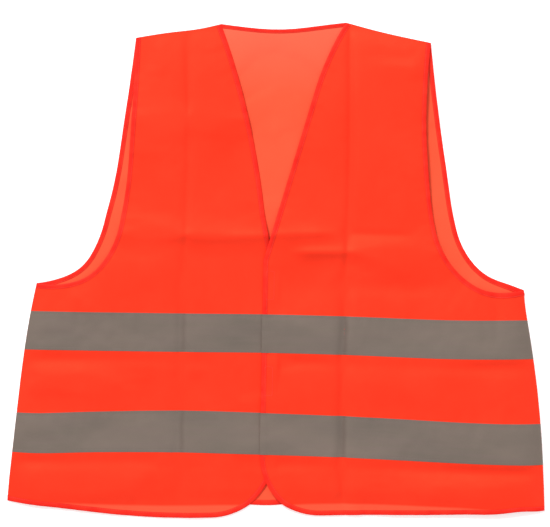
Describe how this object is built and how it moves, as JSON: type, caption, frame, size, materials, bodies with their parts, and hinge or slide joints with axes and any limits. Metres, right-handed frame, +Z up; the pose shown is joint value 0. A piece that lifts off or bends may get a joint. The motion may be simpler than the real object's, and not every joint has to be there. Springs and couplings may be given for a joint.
{
  "type": "high visibility vest",
  "caption": "Sleeveless V-neck safety vest in bright orange-red knit with grey reflective bands, closed and laid flat; its fronts open on folds beside the side seams.",
  "frame": {"origin": "on the surface that the vest lies on, under the middle of its outline", "axes": "+X to the wearer's left, +Y from the hem to the neck, +Z up, away from the back panel"},
  "size_m": [0.7, 0.641, 0.0108],
  "materials": {
    "knit_cloth": "matte",
    "binding": "matte",
    "reflective_tape": "satin",
    "thread": "matte",
    "hook_patch": "matte",
    "loop_patch": "matte",
    "label": "matte"
  },
  "bodies": {
    "back": {"back_hem_binding": "binding", "back_lower_tape": "reflective_tape", "back_neck_binding": "binding", "back_panel": "knit_cloth", "back_stitching": "thread", "back_upper_tape": "reflective_tape", "care_label": "label", "left_armhole_binding": "binding", "left_shoulder_seam": "knit_cloth", "left_side_binding": "binding", "left_side_lower_tape": "reflective_tape", "left_side_panel": "knit_cloth", "left_side_seam": "knit_cloth", "left_side_stitching": "thread", "left_side_upper_tape": "reflective_tape", "right_armhole_binding": "binding", "right_shoulder_seam": "knit_cloth", "right_side_binding": "binding", "right_side_lower_tape": "reflective_tape", "right_side_panel": "knit_cloth", "right_side_seam": "knit_cloth", "right_side_stitching": "thread", "right_side_upper_tape": "reflective_tape"},
    "left_front": {"hook_patches": "hook_patch", "left_front_binding": "binding", "left_front_lower_tape": "reflective_tape", "left_front_panel": "knit_cloth", "left_front_stitching": "thread", "left_front_upper_tape": "reflective_tape"},
    "right_front": {"loop_patches": "loop_patch", "right_front_binding": "binding", "right_front_lower_tape": "reflective_tape", "right_front_panel": "knit_cloth", "right_front_stitching": "thread", "right_front_upper_tape": "reflective_tape", "right_underlap_binding": "binding", "right_underlap_lower_tape": "reflective_tape", "right_underlap_panel": "knit_cloth", "right_underlap_stitching": "thread", "right_underlap_upper_tape": "reflective_tape"}
  },
  "joints": [
    {"name": "left_front_open", "type": "hinge", "parent": "back", "child": "left_front", "pos_m": [0.082, 0.3205, 0.011], "axis": [-0.3745, 0.9272, 0], "range_deg": [0, 178]},
    {"name": "right_front_open", "type": "hinge", "parent": "back", "child": "right_front", "pos_m": [-0.082, 0.3205, 0.008], "axis": [-0.3745, -0.9272, 0], "range_deg": [0, 178], "deforming": ["right_underlap_binding", "right_underlap_lower_tape", "right_underlap_panel", "right_underlap_stitching", "right_underlap_upper_tape", "loop_patches"]}
  ]
}
